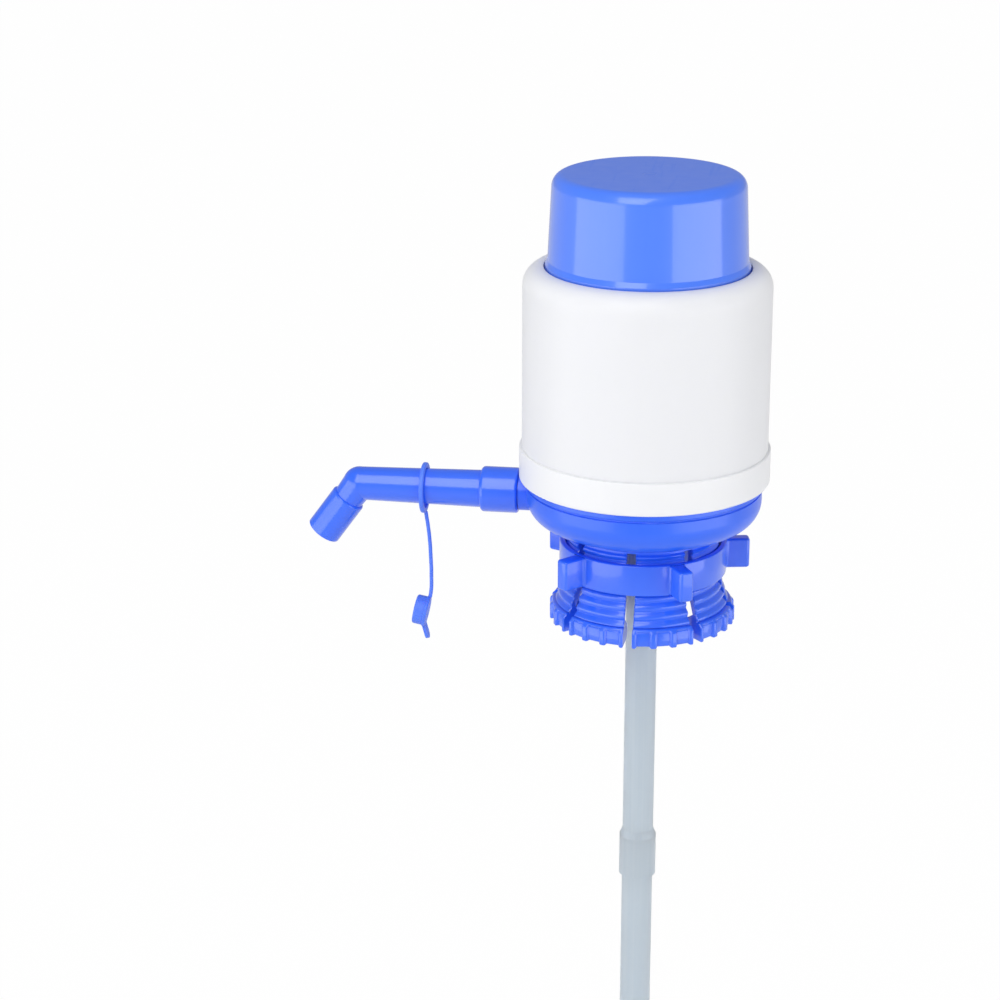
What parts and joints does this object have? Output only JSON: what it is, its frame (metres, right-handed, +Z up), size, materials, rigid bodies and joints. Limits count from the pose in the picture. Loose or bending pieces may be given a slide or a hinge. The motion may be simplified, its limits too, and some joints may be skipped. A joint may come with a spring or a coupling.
{
  "type": "water jug hand pump",
  "caption": "Hand pump that clamps on a water jug's neck: sprung press cap on a round barrel, lugged clamp ring, bent swivelling spout with a tethered plug, long dip tube.",
  "frame": {"origin": "centre of the jug's lip plane, where the gasket sits, on the pump's axis", "axes": "+Z up along the pump's axis, away from the jug; the spout points to -X; the neck enters along +Z from below"},
  "size_m": [0.1909, 0.1022, 0.608],
  "materials": {
    "blue_plastic": "glossy moulded plastic",
    "white_plastic": "satin milky white moulded plastic",
    "inner_plastic": "matt white moulded plastic",
    "soft_white": "soft white silicone",
    "dark_rubber": "matt black rubber",
    "bellows_rubber": "soft moulded rubber",
    "steel": "bright drawn steel",
    "tube_plastic": "clear-white extruded plastic",
    "tether_soft": "soft blue silicone"
  },
  "bodies": {
    "base": {"pump_base": "blue_plastic", "barrel": "white_plastic", "neck_collet": "blue_plastic", "lip_gasket": "soft_white", "valve_deck": "inner_plastic", "deck_seal": "dark_rubber", "deck_screws": "steel", "bellows": "bellows_rubber", "bellows_clamp_ring": "inner_plastic", "return_spring": "steel", "tube_seal": "dark_rubber", "spout_seal": "dark_rubber", "dip_tube_upper": "tube_plastic", "dip_tube_middle": "tube_plastic", "dip_tube_lower": "tube_plastic", "intake_foot": "blue_plastic"},
    "cap": {"press_cap": "blue_plastic", "bellows_plate": "inner_plastic"},
    "inlet_valve": {"air_inlet_valve": "dark_rubber"},
    "outlet_valve": {"air_outlet_valve": "dark_rubber"},
    "clamp_ring": {"clamp_ring": "blue_plastic"},
    "spout": {"spout_tube": "blue_plastic", "spout_nozzle": "blue_plastic"},
    "tether_loop": {"tether_loop": "tether_soft"},
    "tether": {"tether_strap": "tether_soft", "dust_plug": "tether_soft"}
  },
  "joints": [
    {"name": "cap_press", "type": "slide", "parent": "base", "child": "cap", "axis": [0, 0, -1], "range_m": [0, 0.032], "stiffness_N_per_m": 400, "springref_m": -0.012, "deforming": ["bellows", "return_spring"]},
    {"name": "clamp_ring_turn", "type": "hinge", "parent": "base", "child": "clamp_ring", "pos_m": [0, 0, -0.0125], "axis": [0, 0, 1], "range_deg": [-720, 360]},
    {"name": "spout_swivel", "type": "hinge", "parent": "base", "child": "spout", "pos_m": [-0.0592, 0, 0.0121], "axis": [1, 0, 0], "continuous": true},
    {"name": "tether_slide", "type": "slide", "parent": "spout", "child": "tether_loop", "axis": [1, 0, 0], "range_m": [-0.014, 0.006]},
    {"name": "tether_swing", "type": "hinge", "parent": "tether_loop", "child": "tether", "pos_m": [-0.091, 0, 0.0114], "axis": [1, 0, 0], "range_deg": [-90, 90]},
    {"name": "inlet_valve_lift", "type": "slide", "parent": "cap", "child": "inlet_valve", "axis": [0, 0, -1], "range_m": [0, 0.001], "stiffness_N_per_m": 30, "springref_m": -0.0005},
    {"name": "outlet_valve_lift", "type": "slide", "parent": "base", "child": "outlet_valve", "axis": [0, 0, -1], "range_m": [0, 0.001], "stiffness_N_per_m": 30, "springref_m": -0.0005}
  ]
}
